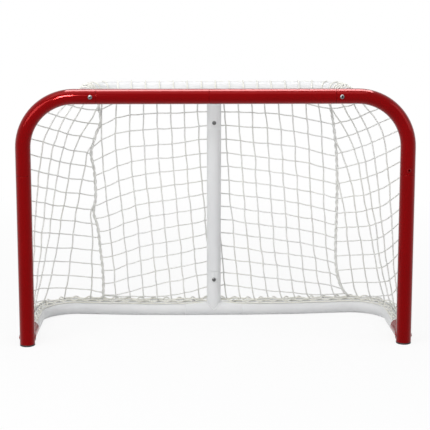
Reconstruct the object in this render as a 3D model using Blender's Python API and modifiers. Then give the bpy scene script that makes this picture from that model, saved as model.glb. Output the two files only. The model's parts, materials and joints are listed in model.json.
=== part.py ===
"""Small street hockey goal: a bolt-together steel tube frame with a knotted net.

Metres, +Z up. The mouth faces -Y and the goal stands on Z = 0, centred on the origin. Every tube end
that plugs into its neighbour is swaged down to a spigot, and a button-head screw with a nut holds it.
"""
from math import asin, ceil, cos, exp, pi, radians, sin, sqrt

import bmesh
import bpy
from mathutils import Vector

# Mouth and tube
opening_width = 0.9144
opening_height = 0.6096
tube_diameter = 0.0381
tube_wall = 0.0015
corner_radius = 0.127
corner_leg = 0.068
corner_tail = 0.055

# Depths, from the post axis to the axis of the rear tubes
base_depth = 0.283
top_depth = 0.235

# Base tubes
base_bend_radius = 0.100
base_bow_angle = radians(7.5)
base_run_in = 0.010
base_run_facets = 3
tee_half_length = 0.077

# Top shelf
shelf_outset = 0.023
shelf_bend_radius = 0.080

# Joints: stub lengths, the crossbar's middle seam, and how far each screw is from its seam
stub_reach = 0.090
centre_seam = -0.0176
lower_stub_length = 0.110
upper_stub_length = 0.110
spigot_length = 0.040
shoulder_length = 0.0012
post_screw_offset = 0.0125
crossbar_screw_offset = 0.0135
centre_screw_offset = 0.0215
stub_screw_offset = 0.016
fit_gap = 0.0003
stub_floor = 0.0008

# Feet
foot_rim = 0.004
foot_plug_height = 0.016

# Fasteners
head_diameter = 0.0108
head_height = 0.0033
head_rim_share = 0.25
head_crown_share = 0.66
shank_diameter = 0.006
socket_width = 0.0042
socket_depth = 0.0020
nut_width = 0.010
nut_height = 0.005
thread_end = 0.001

# Net and what it is laced to
lacing_rod_diameter = 0.005
base_rod_outset = 0.008
rod_end_margin = 0.008
corner_rod_turn = radians(80)
seam_cord_diameter = 0.005
net_thickness = 0.002
net_bar_width = 0.0045
net_base_gap = 0.0009
seam_from_bend = 0.028
seam_bulge = 0.018
seam_bulge_power = 1.7
seam_turn = radians(45)
top_net_sag = 0.010
post_bump_width = 0.066
side_base_power = 2.5
side_head_power = 8.0

# Facets
tube_sides = 20
rod_sides = 8
small_sides = 12
panel_rows = 10
side_panel_columns = 7
back_panel_columns = 12
top_panel_columns = 9
top_panel_rows = 3
edge_points = 2
bottom_edge_points = 96
bend_step = radians(12)
path_step = radians(4)
sharp_edge = radians(35)
cut_margin = 0.001

# Derived sizes
tube_radius = tube_diameter / 2
bore_radius = tube_radius - tube_wall
spigot_radius = bore_radius - fit_gap
rod_radius = lacing_rod_diameter / 2
seam_radius = seam_cord_diameter / 2
shank_radius = shank_diameter / 2
hole_radius = shank_radius + fit_gap
half_facet = pi / tube_sides
post_x = opening_width / 2 + tube_radius
bar_height = opening_height + tube_radius
base_height = tube_radius
post_seam_height = bar_height - corner_radius - corner_leg
crossbar_seam = post_x - corner_radius - corner_tail
shelf_half_width = crossbar_seam + shelf_outset
seam_base_x = post_x - base_bend_radius * (1 + sin(base_bow_angle)) - seam_from_bend
rod_y = tube_radius + fit_gap + rod_radius
rod_rise = sqrt(rod_y ** 2 - base_rod_outset ** 2)
net_front_y = rod_y + rod_radius + fit_gap + net_thickness / 2
net_base_z = base_height + rod_rise + rod_radius + net_base_gap
net_offset = tube_radius + fit_gap + seam_radius
nut_corner = nut_width / 2 / cos(pi / 6)
nut_face = sqrt((spigot_radius - tube_wall) ** 2 - nut_corner ** 2) - fit_gap

# The rear run of the base tube: a shallow arc that is tangent to the tee and to the corner bend
base_run_radius = (
    post_x - base_bend_radius * (1 + sin(base_bow_angle)) - tee_half_length - base_run_in
) / sin(base_bow_angle)
base_bend_y = (
    base_depth - base_bend_radius * cos(base_bow_angle) + base_run_radius * (1 - cos(base_bow_angle))
)

# Middle of the goal from its front screw heads to the back of its base tubes
front_y = -(tube_radius + fit_gap + head_height)
back_y = base_bend_y + base_bend_radius + tube_radius
middle_y = (front_y + back_y) / 2


for old in list(bpy.data.objects):
    bpy.data.objects.remove(old)

parts = bpy.data.collections.new("hockey_goal")
cutters = bpy.data.collections.new("cutters")
for group in (parts, cutters):
    bpy.context.scene.collection.children.link(group)

anchor = bpy.data.objects.new("goal_centre", None)
anchor.location = (0, -middle_y, 0)
parts.objects.link(anchor)


def make_material(name, color, roughness, metallic):
    material = bpy.data.materials.new(name)
    material.use_nodes = True
    shader = material.node_tree.nodes["Principled BSDF"]
    shader.inputs["Base Color"].default_value = (*color, 1)
    shader.inputs["Roughness"].default_value = roughness
    shader.inputs["Metallic"].default_value = metallic
    return material


red_paint = make_material("red_paint", (0.24, 0.0, 0.002), 0.3, 0.0)
white_paint = make_material("white_paint", (0.82, 0.82, 0.82), 0.35, 0.0)
zinc = make_material("zinc_plate", (0.6, 0.6, 0.62), 0.35, 1.0)
rubber = make_material("black_rubber", (0.012, 0.012, 0.012), 0.7, 0.0)
cord = make_material("net_cord", (0.78, 0.78, 0.75), 0.8, 0.0)


# Paths. A flat path is a list of 2D points, and a route is a list of 3D points.

def walk(start, heading, moves, step=bend_step):
    """Flat path from a start point and a heading. A move is (length,) or (radius, turn, facets), with
    left turns positive; where facets is left out, each is at most a step."""
    points = [Vector(start)]
    for move in moves:
        here = points[-1]
        if len(move) == 1:
            points.append(here + move[0] * Vector((cos(heading), sin(heading))))
            continue
        radius, turn = move[:2]
        count = move[2] if len(move) == 3 else ceil(abs(turn) / step)
        side = 1 if turn > 0 else -1
        centre = here + side * radius * Vector((-sin(heading), cos(heading)))
        for index in range(1, count + 1):
            angle = heading + turn * index / count
            points.append(centre - side * radius * Vector((-sin(angle), cos(angle))))
        heading += turn
    return points


def upright(path, side=1, y=0.0):
    """A flat path stood up in the plane of the mouth: its X and Z, mirrored by side."""
    return [Vector((side * p.x, y, p.y)) for p in path]


def level(path, side, z):
    """A flat path laid level at height z: its X and Y, mirrored by side."""
    return [Vector((side * p.x, p.y, z)) for p in path]


def evenly(route, count):
    """count + 1 points at equal distances along a route."""
    lengths = [0.0]
    for a, b in zip(route, route[1:]):
        lengths.append(lengths[-1] + (b - a).length)
    result = []
    segment = 0
    for index in range(count + 1):
        target = lengths[-1] * index / count
        while segment < len(route) - 2 and lengths[segment + 1] < target:
            segment += 1
        span = lengths[segment + 1] - lengths[segment]
        share = (target - lengths[segment]) / span
        result.append(route[segment].lerp(route[segment + 1], share))
    return result


# The leaning centre post: its axis, its two seams, and its radius that points forward
post_foot = Vector((0, base_depth, base_height))
post_head = Vector((0, top_depth, bar_height))
lean = (post_head - post_foot).normalized()
lower_seam = post_foot + lower_stub_length * lean
upper_seam = post_head - upper_stub_length * lean
post_front = Vector((0, -lean.z, lean.y))


# Solids

def add(mesh, name, material=None):
    """A new object: a part with its material, or a cutter without one."""
    thing = bpy.data.objects.new(name, mesh)
    thing.parent = anchor
    if material is None:
        cutters.objects.link(thing)
        thing.hide_render = True
        thing.display_type = "WIRE"
    else:
        parts.objects.link(thing)
        mesh.materials.clear()
        mesh.materials.append(material)
        mesh.shade_smooth()
        mesh.set_sharp_from_angle(angle=sharp_edge)
    return thing


def bar_mesh(name, route, radii, sides=tube_sides, tilt=0.0):
    """A closed round bar along a route, with a radius at each point and its facets tilted."""
    curve = bpy.data.curves.new(name, "CURVE")
    curve.dimensions = "3D"
    curve.bevel_depth = 1.0
    curve.bevel_resolution = (sides - 4) // 2
    curve.use_fill_caps = True
    spline = curve.splines.new("POLY")
    spline.points.add(len(route) - 1)
    for point, place, radius in zip(spline.points, route, radii):
        point.co = (*place, 1)
        point.radius = radius
        point.tilt = tilt
    source = bpy.data.objects.new(name + "_curve", curve)
    bpy.context.scene.collection.objects.link(source)
    bpy.context.view_layer.update()
    evaluated = source.evaluated_get(bpy.context.evaluated_depsgraph_get())
    mesh = bpy.data.meshes.new_from_object(evaluated)
    mesh.name = name
    bpy.data.objects.remove(source)
    work = bmesh.new()
    work.from_mesh(mesh)
    bmesh.ops.remove_doubles(work, verts=work.verts, dist=0.00001)
    bmesh.ops.recalc_face_normals(work, faces=work.faces)
    work.to_mesh(mesh)
    work.free()
    return mesh


def join(thing, tool):
    """Welds a second solid to a part."""
    step = thing.modifiers.new(tool.name, "BOOLEAN")
    step.operation = "UNION"
    step.solver = "EXACT"
    step.object = tool


def cut(thing, tool):
    """Cuts a solid out of a part. All of a part's cuts are one Boolean, over a collection of cutters."""
    step = thing.modifiers.get("cuts")
    if step is None:
        step = thing.modifiers.new("cuts", "BOOLEAN")
        step.operation = "DIFFERENCE"
        step.solver = "EXACT"
        step.operand_type = "COLLECTION"
        step.collection = bpy.data.collections.new(thing.name + "_cutters")
        cutters.children.link(step.collection)
    cutters.objects.unlink(tool)
    step.collection.objects.link(tool)


def lengthened(route, margin=cut_margin):
    """A route with both ends pushed out by a margin."""
    longer = list(route)
    longer[0] = route[0] + margin * (route[0] - route[1]).normalized()
    longer[-1] = route[-1] + margin * (route[-1] - route[-2]).normalized()
    return longer


def tube(name, route, radii, material, stub=None):
    """A hollow tube along a route. A stub (start, direction, reach, radius) is a side tube that is welded
    on, blind at the main tube's wall and open at its end. Half a facet of tilt keeps two tubes of one
    size from touching along their edges."""
    thing = add(bar_mesh(name, route, radii), name, material)
    if stub:
        start, direction, reach, radius = stub
        ends = [start + cut_margin * direction, start + reach * direction]
        bore_ends = [
            start + (tube_radius + stub_floor) * direction,
            start + (reach + cut_margin) * direction,
        ]
        bore_radii = [radius - tube_wall] * 2
        join(thing, add(bar_mesh(name + "_stub", ends, [radius] * 2, tilt=half_facet), name + "_stub"))
        stub_bore = bar_mesh(name + "_stub_bore", bore_ends, bore_radii, tilt=half_facet)
        cut(thing, add(stub_bore, name + "_stub_bore"))
    bore_radii = [radius - tube_wall for radius in radii]
    cut(thing, add(bar_mesh(name + "_bore", lengthened(route), bore_radii), name + "_bore"))
    return thing


def drill(thing, axis_point, direction, number=1):
    """A screw hole through one wall of a tube."""
    name = f"{thing.name}_hole_{number}"
    ends = [axis_point + reach * direction for reach in (nut_face - nut_height, tube_radius + head_height)]
    cut(thing, add(bar_mesh(name, ends, [hole_radius] * 2, small_sides, half_facet / 2), name))


def with_spigot(route, seam_index=-1):
    """Route and radii of a tube whose last run, after the seam point, is swaged to a spigot."""
    seam = route[seam_index]
    ahead = (seam - route[seam_index - 1]).normalized()
    full_end = seam - shoulder_length * ahead
    tip = seam + spigot_length * ahead
    body = route[:seam_index] if seam_index != -1 else route[:-1]
    points = body + [full_end, seam, tip]
    radii = [tube_radius] * (len(body) + 1) + [spigot_radius] * 2
    return points, radii


def turned(name, profile, sides, material):
    """A solid of revolution about Z, from a profile of (radius, height) that starts and ends on the axis."""
    mesh = bpy.data.meshes.new(name)
    work = bmesh.new()
    corners = [work.verts.new((radius, 0, height)) for radius, height in profile]
    for a, b in zip(corners, corners[1:]):
        work.edges.new((a, b))
    bmesh.ops.spin(
        work, geom=work.verts[:] + work.edges[:], axis=(0, 0, 1), cent=(0, 0, 0),
        angle=2 * pi, steps=sides, use_merge=True,
    )
    bmesh.ops.remove_doubles(work, verts=work.verts, dist=0.00001)
    bmesh.ops.recalc_face_normals(work, faces=work.faces)
    work.to_mesh(mesh)
    work.free()
    return add(mesh, name, material)


def prism(name, radius, bottom, top, sides, material=None):
    """An upright prism about Z with a regular outline of the given corner radius."""
    mesh = bpy.data.meshes.new(name)
    work = bmesh.new()
    bmesh.ops.create_cone(
        work, cap_ends=True, segments=sides, radius1=radius, radius2=radius, depth=top - bottom
    )
    bmesh.ops.translate(work, verts=work.verts, vec=(0, 0, (top + bottom) / 2))
    work.to_mesh(mesh)
    work.free()
    return add(mesh, name, material)


def point_along(thing, place, direction):
    """Turns a solid that was modelled about Z to a direction, and moves its origin to a place."""
    thing.rotation_mode = "QUATERNION"
    thing.rotation_quaternion = Vector((0, 0, 1)).rotation_difference(direction)
    thing.location = place


def fasten(name, axis_point, direction):
    """The button-head screw and nut of a joint, on a radius of its tube that points along direction."""
    seat = tube_radius + fit_gap
    reach = nut_face - nut_height - thread_end
    head_radius = head_diameter / 2
    screw = turned(
        f"screw_{name}",
        [
            (0, reach),
            (shank_radius, reach),
            (shank_radius, seat),
            (head_radius, seat),
            (head_radius, seat + head_height * head_rim_share),
            (head_radius * head_crown_share, seat + head_height),
            (0, seat + head_height),
        ],
        small_sides, zinc,
    )
    socket = prism(
        f"screw_{name}_socket", socket_width / 2 / cos(pi / 6),
        seat + head_height - socket_depth, seat + head_height + cut_margin, 6,
    )
    cut(screw, socket)
    nut = prism(f"nut_{name}", nut_corner, nut_face - nut_height, nut_face, 6, zinc)
    thread = prism(
        f"nut_{name}_thread", hole_radius,
        nut_face - nut_height - cut_margin, nut_face + cut_margin, small_sides,
    )
    cut(nut, thread)
    for thing in (screw, socket, nut, thread):
        point_along(thing, axis_point, direction)


front = Vector((0, -1, 0))
rear = Vector((0, 1, 0))
up = Vector((0, 0, 1))
right = Vector((1, 0, 0))
sides = {"left": -1, "right": 1}


# Front posts, with the red stubs that take the base tubes

def make_post(side_name):
    side = sides[side_name]
    bottom = Vector((side * post_x, 0, foot_rim + fit_gap))
    seam = Vector((side * post_x, 0, post_seam_height))
    route, radii = with_spigot([bottom, seam])
    heel = Vector((side * post_x, 0, base_height))
    stub = (heel, rear, stub_reach, tube_radius)
    post = tube(f"post_{side_name}", route, radii, red_paint, stub)
    trim = prism(
        f"post_{side_name}_trim", tube_radius + fit_gap, -cut_margin, foot_rim + fit_gap, tube_sides
    )
    trim.location = (side * post_x, 0, 0)
    cut(post, trim)
    # The right post's screw faces the front and the left post's the rear
    drill(post, seam + post_screw_offset * up, front if side > 0 else rear)
    drill(post, heel + (stub_reach - stub_screw_offset) * rear, up, 2)


# Corner bends: sleeves at both ends, with the swaged stubs that the shelf legs slide over

def make_corner(side_name):
    side = sides[side_name]
    path = walk(
        (post_x, post_seam_height), pi / 2, [(corner_leg,), (corner_radius, pi / 2), (corner_tail,)]
    )
    route = upright(path, side)
    root = Vector((side * shelf_half_width, 0, bar_height))
    stub = (root, rear, stub_reach, spigot_radius)
    corner = tube(f"corner_{side_name}", route, [tube_radius] * len(route), red_paint, stub)
    drill(corner, route[0] + post_screw_offset * up, front if side > 0 else rear)
    drill(corner, route[-1] + side * crossbar_screw_offset * right, front, 2)
    drill(corner, root + (stub_reach - stub_screw_offset) * rear, up, 3)


# Crossbar halves: each plugs into its corner, and the right one into the left one

def make_crossbar(side_name):
    side = sides[side_name]
    outer = Vector((side * crossbar_seam, 0, bar_height))
    seam = Vector((centre_seam, 0, bar_height))
    route, radii = with_spigot([seam, outer])
    if side > 0:
        route[:1] = [seam - spigot_length * right, seam, seam + shoulder_length * right]
        radii[:1] = [spigot_radius] * 2 + [tube_radius]
    bar = tube(f"crossbar_{side_name}", route, radii, red_paint)
    drill(bar, outer + side * crossbar_screw_offset * right, front)
    drill(bar, seam - centre_screw_offset * right, rear, 2)


# White base tubes, from the post stubs round the rear corners to the tee

def base_path(outset, start_y, stop_x=tee_half_length + base_run_in, step=bend_step):
    """The right base tube's flat path, moved outward, from start_y round to stop_x on the rear run."""
    run_radius = base_run_radius - outset
    stop_angle = asin((stop_x - tee_half_length - base_run_in) / run_radius)
    moves = [
        (base_bend_y - start_y,),
        (base_bend_radius + outset, pi / 2 + base_bow_angle),
        (run_radius, stop_angle - base_bow_angle, base_run_facets),
    ]
    return walk((post_x + outset, start_y), pi / 2, moves, step)


def make_base_tube(side_name):
    side = sides[side_name]
    path = base_path(0.0, stub_reach + shoulder_length) + [Vector((tee_half_length, base_depth))]
    route, radii = with_spigot(level(path, side, base_height))
    mouth = Vector((side * post_x, stub_reach, base_height))
    route[:0] = [mouth - spigot_length * rear, mouth]
    radii[:0] = [spigot_radius] * 2
    base = tube(f"base_tube_{side_name}", route, radii, white_paint)
    drill(base, mouth - stub_screw_offset * rear, up)
    drill(base, Vector((side * (tee_half_length - centre_screw_offset), base_depth, base_height)), up, 2)


# Base tee and the leaning centre post

def make_tee():
    ends = [Vector((side * tee_half_length, base_depth, base_height)) for side in (-1, 1)]
    stub = (post_foot, lean, lower_stub_length, tube_radius)
    tee = tube("base_tee", ends, [tube_radius] * 2, white_paint, stub)
    for number, end in enumerate(ends, start=1):
        inward = (post_foot - end).normalized()
        drill(tee, end + centre_screw_offset * inward, up, number)
    drill(tee, lower_seam - centre_screw_offset * lean, post_front, 3)


def make_centre_post():
    route, radii = with_spigot([lower_seam + shoulder_length * lean, upper_seam])
    route[:0] = [lower_seam - spigot_length * lean, lower_seam]
    radii[:0] = [spigot_radius] * 2
    post = tube("centre_post", route, radii, white_paint)
    drill(post, lower_seam - centre_screw_offset * lean, post_front)
    drill(post, upper_seam + centre_screw_offset * lean, post_front, 2)


# Top shelf: one bent tube behind the crossbar, with the stub that takes the centre post

def shelf_path(outset, step=bend_step, front_end=tube_radius + fit_gap):
    """The shelf's flat path from its left leg's front end round to its right leg's, moved outward."""
    leg = top_depth - shelf_bend_radius - front_end
    bend = (shelf_bend_radius + outset, -pi / 2)
    across = 2 * (shelf_half_width - shelf_bend_radius)
    return walk(
        (-shelf_half_width - outset, front_end), pi / 2, [(leg,), bend, (across,), bend, (leg,)], step
    )


def make_shelf():
    route = level(shelf_path(0.0), 1, bar_height)
    stub = (post_head, -lean, upper_stub_length, tube_radius)
    shelf = tube("top_shelf", route, [tube_radius] * len(route), white_paint, stub)
    for number, side in enumerate(sides.values(), start=1):
        root = Vector((side * shelf_half_width, stub_reach - stub_screw_offset, bar_height))
        drill(shelf, root, up, number)
    drill(shelf, upper_seam + centre_screw_offset * lean, post_front, 3)


# Rubber feet, plugged into the posts

def make_foot(side_name):
    foot = turned(
        f"foot_{side_name}",
        [
            (0, 0),
            (tube_radius, 0),
            (tube_radius, foot_rim),
            (bore_radius - fit_gap, foot_rim),
            (bore_radius - fit_gap, foot_rim + foot_plug_height),
            (0, foot_rim + foot_plug_height),
        ],
        tube_sides, rubber,
    )
    foot.location = (sides[side_name] * post_x, 0, 0)


# Lacing rods, welded behind the red tubes and on top of the base tubes

def make_rod(name, route, material):
    return add(bar_mesh(name, route, [rod_radius] * len(route), rod_sides), name, material)


def make_lacing_rods(side_name):
    side = sides[side_name]
    screw_room = head_diameter / 2 + rod_end_margin
    low = Vector((post_x, base_height + tube_radius + rod_end_margin))
    high = Vector((post_x, post_seam_height - rod_end_margin))
    make_rod(f"lacing_rod_post_{side_name}", upright([low, high], side, rod_y), red_paint)

    start = post_seam_height + post_screw_offset + screw_room
    rise = bar_height - corner_radius - start
    bend = walk((post_x, start), pi / 2, [(rise,), (corner_radius, corner_rod_turn)])
    make_rod(f"lacing_rod_corner_{side_name}", upright(bend, side, rod_y), red_paint)

    outer = side * (crossbar_seam - rod_end_margin)
    inner = centre_seam + rod_end_margin
    if side < 0:
        inner = centre_seam - centre_screw_offset - screw_room
    ends = [Vector((x, rod_y, bar_height)) for x in (outer, inner)]
    make_rod(f"lacing_rod_crossbar_{side_name}", ends, red_paint)

    path = base_path(base_rod_outset, stub_reach + rod_end_margin)
    route = level(path, side, base_height + rod_rise)
    make_rod(f"lacing_rod_base_{side_name}", route, white_paint)


# Net. Each panel is a thin lattice over the surface that its knotted cords lie in, spanned by four edges.

def front_edge():
    """The right side panel's front edge: up the post and round the corner bend."""
    rise = bar_height - corner_radius - net_base_z
    path = walk((post_x, net_base_z), pi / 2, [(rise,), (corner_radius, pi / 2)], path_step)
    return upright(path, 1, net_front_y)


def side_top_edge():
    """The right side panel's top edge: from the end of the corner bend back along the shelf leg."""
    leg_x = shelf_half_width + net_offset
    leg = walk(
        (leg_x, net_front_y), pi / 2,
        [(top_depth - shelf_bend_radius - net_front_y,), (shelf_bend_radius + net_offset, seam_turn)],
        path_step,
    )
    return front_edge()[-1:] + level(leg, 1, bar_height)


def side_bottom_edge():
    """The right side panel's bottom edge: along the base lacing rod to the seam."""
    path = base_path(base_rod_outset, stub_reach, seam_base_x, path_step)
    return level([Vector((post_x, net_front_y))] + path, 1, net_base_z)


def seam_route(count):
    """The right seam between side and back panels, from the base up to the shelf's rear corner."""
    low, high = side_bottom_edge()[-1], side_top_edge()[-1]
    route = []
    for index in range(count + 1):
        share = index / count
        bulge = seam_bulge * sin(pi * share ** seam_bulge_power)
        route.append(low.lerp(high, share) + Vector((bulge, 0, 0)))
    return route


def mirrored(route):
    return [Vector((-p.x, p.y, p.z)) for p in route]


def back_top_edge():
    """The back panel's top edge, from the right seam to the left one, round the shelf's rear bends."""
    bend = shelf_bend_radius + net_offset
    start = side_top_edge()[-1]
    across = 2 * (shelf_half_width - shelf_bend_radius)
    path = walk(
        (start.x, start.y), pi / 2 + seam_turn, [(bend, seam_turn), (across,), (bend, seam_turn)], path_step
    )
    return level(path, 1, bar_height)


def back_bottom_edge():
    """The back panel's bottom edge along the base rods, and round behind the centre post."""
    count = bottom_edge_points
    run_radius = base_run_radius - base_rod_outset
    straight = tee_half_length + base_run_in
    axis_y = base_depth + (net_base_z - base_height) * lean.y / lean.z
    behind_post = axis_y + (net_offset + net_base_gap) / lean.z - base_depth - base_rod_outset
    route = []
    for index in range(count + 1):
        x = seam_base_x * (1 - 2 * index / count)
        run = max(0.0, abs(x) - straight)
        y = base_depth + base_run_radius - sqrt(run_radius ** 2 - run ** 2)
        y += behind_post * exp(-((x / post_bump_width) ** 2))
        route.append(Vector((x, y, net_base_z)))
    return route


def spanned(bottom, top, start, end, columns, rows, base_power=1.0, head_power=1.0):
    """Grid points of the surface between four edges. The higher a power is, the less far into the panel
    the bow of its edge reaches: base_power is for the bottom edge, head_power for the top one."""
    bottom, top = evenly(bottom, columns), evenly(top, columns)
    start, end = evenly(start, rows), evenly(end, rows)
    grid = []
    for i in range(columns + 1):
        u = i / columns
        line = []
        for j in range(rows + 1):
            near_base, near_head = (1 - j / rows) ** base_power, (j / rows) ** head_power
            point = start[j].lerp(end[j], u)
            point += near_base * (bottom[i] - bottom[0].lerp(bottom[-1], u))
            point += near_head * (top[i] - top[0].lerp(top[-1], u))
            line.append(point)
        grid.append(line)
    return grid


def length_of(line):
    return sum((b - a).length for a, b in zip(line, line[1:]))


def on_grid(grid, i, j):
    """The place at indices between the points of a grid."""
    left, below = min(int(i), len(grid) - 2), min(int(j), len(grid[0]) - 2)
    near = grid[left][below].lerp(grid[left][below + 1], j - below)
    far = grid[left + 1][below].lerp(grid[left + 1][below + 1], j - below)
    return near.lerp(far, i - left)


def make_panel(name, grid, side=1):
    """A thin closed lattice over a grid of points. It is cut flat, at its real width and height, and then
    laid on the grid. An opening spans edge_points columns of it and one row."""
    columns, rows = (len(grid) - 1) // edge_points, len(grid[0]) - 1
    width = (length_of([line[0] for line in grid]) + length_of([line[-1] for line in grid])) / 2
    height = (length_of(grid[0]) + length_of(grid[-1])) / 2
    mesh = bpy.data.meshes.new(name)
    work = bmesh.new()
    bmesh.ops.create_grid(work, x_segments=columns, y_segments=rows, size=0.5)
    bmesh.ops.scale(work, verts=work.verts, vec=(width, height, 1))
    top_line = height * (0.5 - 0.1 / rows)
    top_edges = [edge for edge in work.edges if min(vertex.co.y for vertex in edge.verts) > top_line]
    bmesh.ops.subdivide_edges(work, edges=top_edges, cuts=edge_points - 1)
    openings = work.faces[:]
    bmesh.ops.inset_individual(work, faces=openings, thickness=net_bar_width / 2, use_even_offset=True)
    bmesh.ops.delete(work, geom=openings, context="FACES_ONLY")
    for vertex in work.verts:
        across = (vertex.co.x / width + 0.5) * columns * edge_points
        place = on_grid(grid, max(across, 0.0), max((vertex.co.y / height + 0.5) * rows, 0.0))
        vertex.co = (side * place.x, place.y, place.z)
    work.to_mesh(mesh)
    work.free()
    panel = add(mesh, name, cord)
    shell = panel.modifiers.new("thickness", "SOLIDIFY")
    shell.thickness = net_thickness
    shell.offset = 0
    return panel


def trimmed(grid, at_start, at_end):
    """A grid whose first and last columns are drawn in, to leave room for a seam cord."""
    trimmed_grid = [list(line) for line in grid]
    for edge, inner, room in ((0, 1, at_start), (-1, -2, at_end)):
        for j, place in enumerate(grid[edge]):
            toward = grid[inner][j] - place
            trimmed_grid[edge][j] = place + room * toward.normalized()
    return trimmed_grid


def make_net():
    seam = seam_route(panel_rows)
    seam_room = seam_radius + fit_gap
    side_grid = spanned(
        side_bottom_edge(), side_top_edge(), front_edge(), seam,
        side_panel_columns * edge_points, panel_rows, side_base_power, side_head_power,
    )
    side_grid = trimmed(side_grid, 0.0, seam_room)
    back_grid = spanned(
        back_bottom_edge(), back_top_edge(), seam, mirrored(seam),
        back_panel_columns * edge_points, panel_rows,
    )
    make_panel("net_back", trimmed(back_grid, seam_room, seam_room))
    for side_name, side in sides.items():
        make_panel(f"net_{side_name}", side_grid, side)
        route = seam if side > 0 else mirrored(seam)
        seam_name = f"net_seam_{side_name}"
        add(bar_mesh(seam_name, route, [seam_radius] * len(route), rod_sides), seam_name, cord)


def make_top_net():
    """The top panel, inside the shelf tube and behind the crossbar."""
    inset = tube_radius + fit_gap
    outline = level(shelf_path(-inset, path_step, net_front_y), 1, bar_height)
    turn = 1 + ceil(pi / 2 / path_step) // 2
    left, rear_edge, right_edge = outline[:turn + 1], outline[turn:-turn], outline[:-turn - 2:-1]
    grid = spanned(
        [outline[0], outline[-1]], rear_edge, left, right_edge,
        top_panel_columns * edge_points, top_panel_rows,
    )
    for i, line in enumerate(grid):
        for j, place in enumerate(line):
            drop = sin(pi * i / (len(grid) - 1)) * sin(pi * j / top_panel_rows)
            place.z -= top_net_sag * drop
    make_panel("net_top", grid)


for side_name in sides:
    make_post(side_name)
    make_corner(side_name)
    make_crossbar(side_name)
    make_base_tube(side_name)
    make_foot(side_name)
    make_lacing_rods(side_name)
make_tee()
make_centre_post()
make_shelf()
make_net()
make_top_net()

for side_name, side in sides.items():
    across = side * right
    post_joint = post_x * across + (post_seam_height + post_screw_offset) * up
    fasten(f"post_{side_name}", post_joint, front if side > 0 else rear)
    fasten(f"corner_{side_name}", (crossbar_seam + crossbar_screw_offset) * across + bar_height * up, front)
    stub_hole = (stub_reach - stub_screw_offset) * rear
    fasten(f"base_{side_name}", post_x * across + stub_hole + base_height * up, up)
    fasten(f"shelf_{side_name}", shelf_half_width * across + stub_hole + bar_height * up, up)
    fasten(f"tee_{side_name}", post_foot + (tee_half_length - centre_screw_offset) * across, up)
fasten("crossbar", (centre_seam - centre_screw_offset) * right + bar_height * up, rear)
fasten("post_lower", lower_seam - centre_screw_offset * lean, post_front)
fasten("post_upper", upper_seam + centre_screw_offset * lean, post_front)
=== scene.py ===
# %% [markdown]
# # A street hockey goal, dressed for its portrait
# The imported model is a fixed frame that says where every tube, screw and net panel is. This lesson
# puts finer pieces over it: steel tubes modelled by hand, from a circle that is extruded and spun,
# and a net knotted from single cords. Sizes are in metres. X runs across the mouth, Y into the
# goal, and Z up.

# %% The frame, and the box that the looks have to stay in
import json
import random
from math import asin, atan2, ceil, cos, exp, pi, radians, sin, sqrt
from types import SimpleNamespace

import bpy
import numpy as np
from mathutils import Matrix, Vector

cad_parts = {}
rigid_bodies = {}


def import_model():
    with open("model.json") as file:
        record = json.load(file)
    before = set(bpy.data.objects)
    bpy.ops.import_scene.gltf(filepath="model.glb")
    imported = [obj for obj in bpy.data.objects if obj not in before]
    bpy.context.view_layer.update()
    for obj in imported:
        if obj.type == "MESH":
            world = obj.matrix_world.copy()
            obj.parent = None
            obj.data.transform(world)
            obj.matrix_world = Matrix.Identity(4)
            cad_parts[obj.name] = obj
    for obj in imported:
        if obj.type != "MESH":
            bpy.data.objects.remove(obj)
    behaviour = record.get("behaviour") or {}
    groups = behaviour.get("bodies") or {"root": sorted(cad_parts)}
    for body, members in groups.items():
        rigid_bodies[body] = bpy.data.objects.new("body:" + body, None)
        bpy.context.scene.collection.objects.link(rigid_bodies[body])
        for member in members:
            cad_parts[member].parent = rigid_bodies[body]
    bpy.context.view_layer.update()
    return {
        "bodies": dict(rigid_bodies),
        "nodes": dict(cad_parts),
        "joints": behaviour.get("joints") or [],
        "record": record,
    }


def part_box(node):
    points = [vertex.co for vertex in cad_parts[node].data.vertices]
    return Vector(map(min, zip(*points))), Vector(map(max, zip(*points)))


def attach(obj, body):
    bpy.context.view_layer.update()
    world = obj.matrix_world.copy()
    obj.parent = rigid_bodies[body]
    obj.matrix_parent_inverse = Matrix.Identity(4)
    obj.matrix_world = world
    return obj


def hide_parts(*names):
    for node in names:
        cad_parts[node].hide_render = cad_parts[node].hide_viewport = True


for old in list(bpy.data.objects):
    bpy.data.objects.remove(old)
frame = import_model()
nodes = frame["nodes"]
print("nodes in the frame:", len(nodes))

# %% [markdown]
# ## The sizes that everything hangs on
# The goal is drawn from a few numbers: the mouth, the tube, and how far the base and the top bar
# reach back. The same numbers made the frame, so a piece that is built from them fits its node.
# The origin is below the middle of the goal, so the mouth's plane lies in front of it.

# %% The goal's own numbers
tube_radius = 0.01905
spigot_radius = 0.01725
corner_radius = 0.127
corner_leg = 0.068
corner_tail = 0.055
base_depth = 0.283
top_depth = 0.235
base_bend_radius = 0.100
base_bow_angle = radians(7.5)
base_run_in = 0.010
tee_half_length = 0.077
shelf_half_width = 0.32625
shelf_bend_radius = 0.080
stub_reach = 0.090
centre_seam = -0.0176
stub_length = 0.110
shoulder = 0.0012
play = 0.0003

foot_low, foot_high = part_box("foot_right")
post_x = (foot_low.x + foot_high.x) / 2
mouth_y = (foot_low.y + foot_high.y) / 2
bar_height = 0.62865
base_height = tube_radius
post_seam_height = bar_height - corner_radius - corner_leg
crossbar_seam = post_x - corner_radius - corner_tail

up = Vector((0, 0, 1))
right = Vector((1, 0, 0))
rear = Vector((0, 1, 0))
sides = {"left": -1, "right": 1}


def place(x, y, z):
    """A point given by its depth behind the plane of the mouth."""
    return Vector((x, mouth_y + y, z))


def add_object(name, data):
    """An object in the scene for a mesh, a lamp or a camera."""
    made = bpy.data.objects.new(name, data)
    bpy.context.scene.collection.objects.link(made)
    return made


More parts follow.
